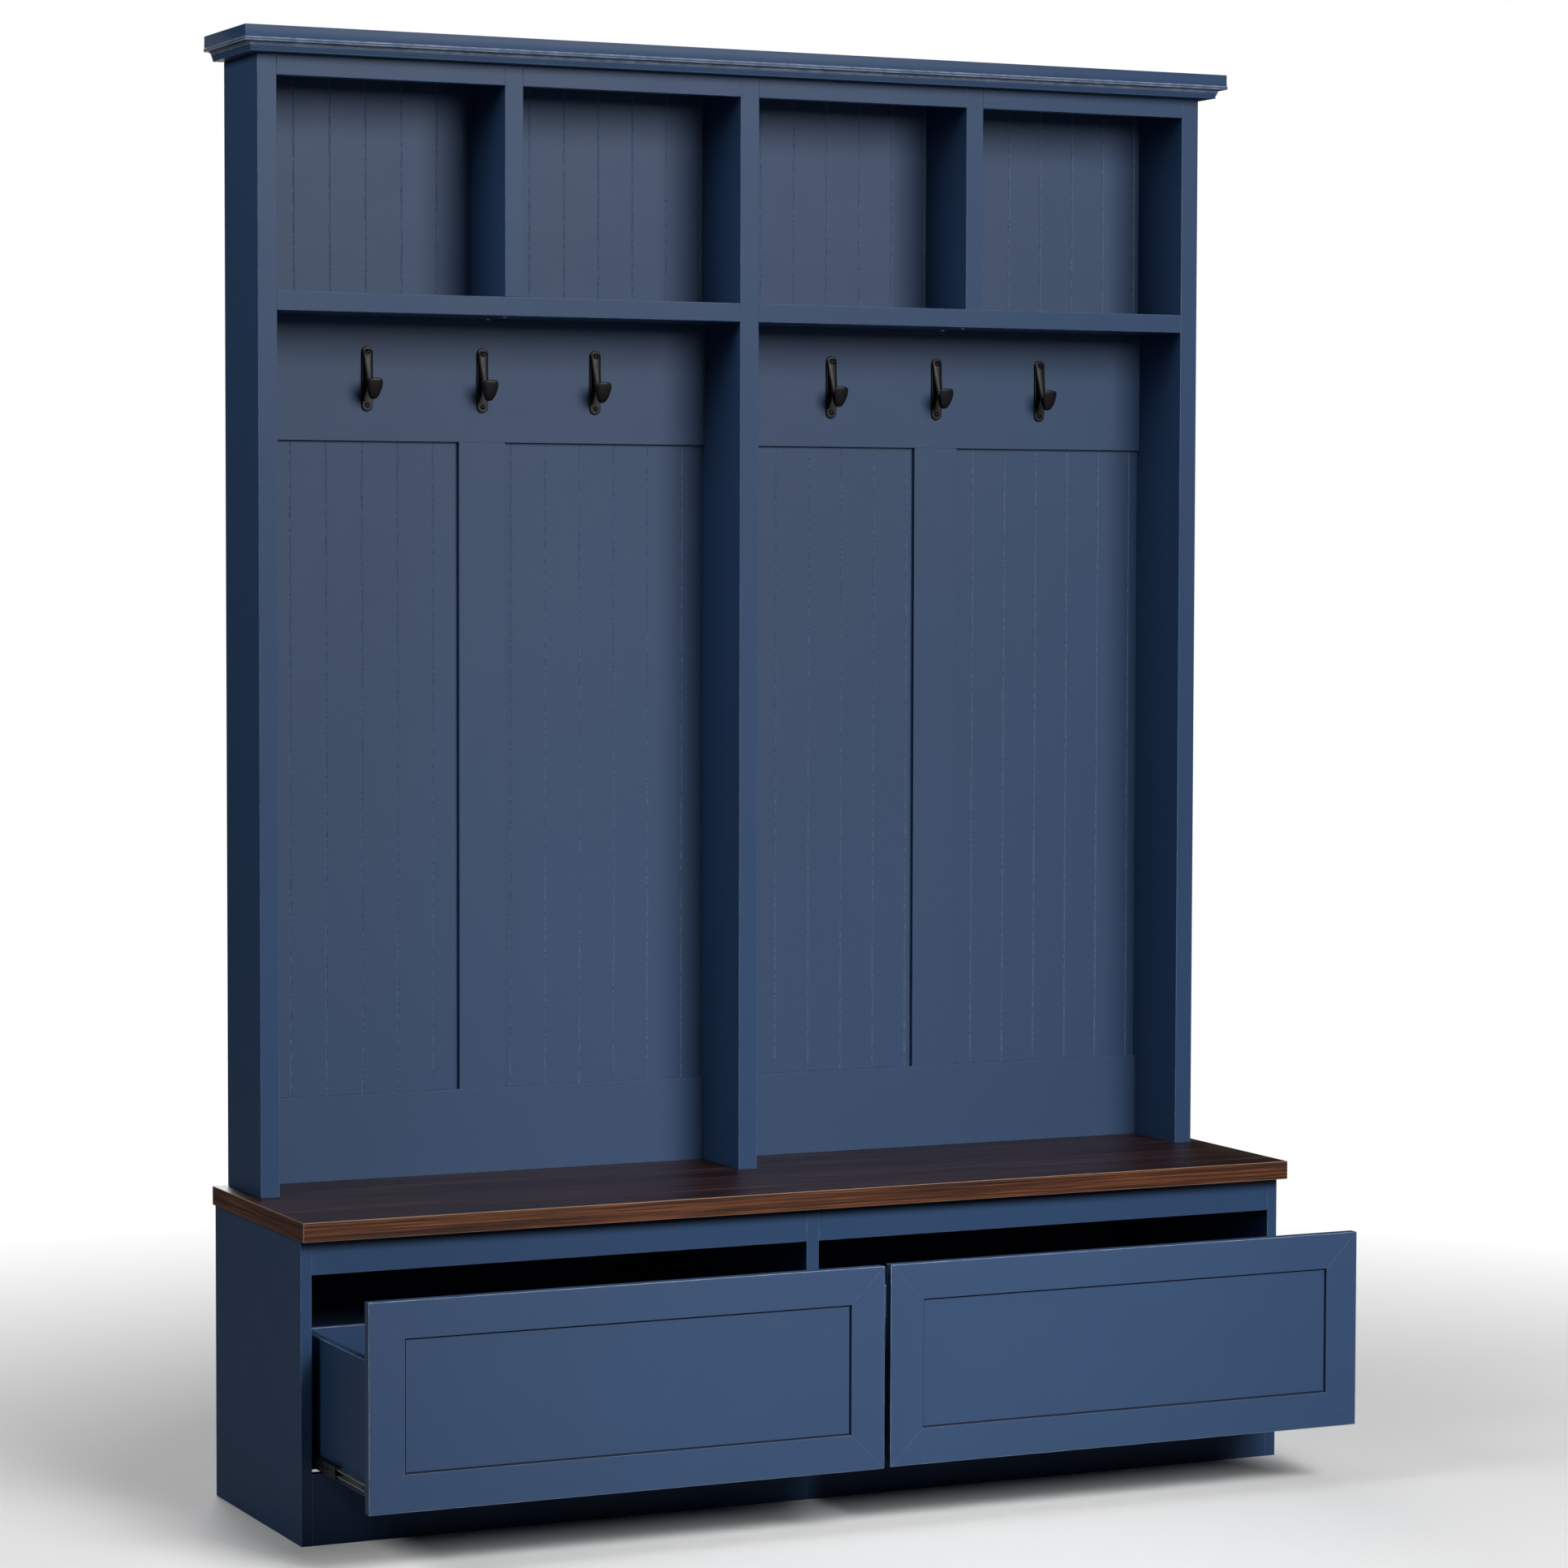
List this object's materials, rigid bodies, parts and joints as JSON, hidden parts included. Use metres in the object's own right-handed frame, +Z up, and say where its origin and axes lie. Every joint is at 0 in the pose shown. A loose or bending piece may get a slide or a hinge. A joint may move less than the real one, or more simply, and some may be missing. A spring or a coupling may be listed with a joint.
{
  "type": "hall tree",
  "caption": "Freestanding hall tree: bench with two wide slide-out drawers under a hutch with coat hooks, open cubbies and a cornice.",
  "frame": {"origin": "on the floor, at the centre of the base's footprint, in the middle of the centre panel's foot", "axes": "+Z up, the front faces -Y, +X to the right as seen from the front"},
  "size_m": [1.513, 0.599, 2.0148],
  "materials": {
    "navy_paint": "satin paint on board",
    "walnut_laminate": "satin wood-grain laminate",
    "hook_black": "satin black",
    "screw_black": "black oxide",
    "zinc_plate": "bright zinc plate",
    "black_electrocoat": "black electrocoat"
  },
  "bodies": {
    "carcass": {"base_back_panel": "navy_paint", "base_centre_panel": "navy_paint", "base_lower_rail_left": "navy_paint", "base_lower_rail_right": "navy_paint", "base_side_left": "navy_paint", "base_side_right": "navy_paint", "base_top_rail_left": "navy_paint", "base_top_rail_right": "navy_paint", "bay_back_panel_1": "navy_paint", "bay_back_panel_2": "navy_paint", "bay_back_panel_3": "navy_paint", "bay_back_panel_4": "navy_paint", "bench_top": "walnut_laminate", "bottom_board_left": "navy_paint", "bottom_board_right": "navy_paint", "cabinet_slide_members": "black_electrocoat", "coat_hook_1": "hook_black", "coat_hook_2": "hook_black", "coat_hook_3": "hook_black", "coat_hook_4": "hook_black", "coat_hook_5": "hook_black", "coat_hook_6": "hook_black", "cornice_front": "navy_paint", "cornice_left": "navy_paint", "cornice_right": "navy_paint", "cubby_back_panel_1": "navy_paint", "cubby_back_panel_2": "navy_paint", "cubby_back_panel_3": "navy_paint", "cubby_back_panel_4": "navy_paint", "cubby_upright_left": "navy_paint", "cubby_upright_right": "navy_paint", "frieze_rails": "navy_paint", "hook_board_left": "navy_paint", "hook_board_right": "navy_paint", "hook_screws": "screw_black", "hutch_centre_upright": "navy_paint", "hutch_side_left": "navy_paint", "hutch_side_right": "navy_paint", "hutch_top_board": "navy_paint", "mid_stile_left": "navy_paint", "mid_stile_right": "navy_paint", "shelf_left": "navy_paint", "shelf_right": "navy_paint"},
    "drawer_left": {"drawer_left_back": "navy_paint", "drawer_left_bottom": "navy_paint", "drawer_left_front_frame": "navy_paint", "drawer_left_front_panel": "navy_paint", "drawer_left_side_left": "navy_paint", "drawer_left_side_right": "navy_paint", "drawer_left_slide_members": "zinc_plate"},
    "middle_slides_left": {"middle_left_slide_members": "black_electrocoat"},
    "drawer_right": {"drawer_right_back": "navy_paint", "drawer_right_bottom": "navy_paint", "drawer_right_front_frame": "navy_paint", "drawer_right_front_panel": "navy_paint", "drawer_right_side_left": "navy_paint", "drawer_right_side_right": "navy_paint", "drawer_right_slide_members": "zinc_plate"},
    "middle_slides_right": {"middle_right_slide_members": "black_electrocoat"}
  },
  "joints": [
    {"name": "drawer_left_slide", "type": "slide", "parent": "carcass", "child": "drawer_left", "axis": [0, -1, 0], "range_m": [-0.222, 0.058]},
    {"name": "middle_left_slide", "type": "slide", "parent": "carcass", "child": "middle_slides_left", "axis": [0, -1, 0], "range_m": [-0.111, 0.029]},
    {"name": "drawer_right_slide", "type": "slide", "parent": "carcass", "child": "drawer_right", "axis": [0, -1, 0], "range_m": [-0.216, 0.064]},
    {"name": "middle_right_slide", "type": "slide", "parent": "carcass", "child": "middle_slides_right", "axis": [0, -1, 0], "range_m": [-0.108, 0.032]}
  ],
  "couplings": [
    {"joint": "middle_left_slide", "follows": "drawer_left_slide", "ratio": 0.5},
    {"joint": "middle_right_slide", "follows": "drawer_right_slide", "ratio": 0.5}
  ]
}
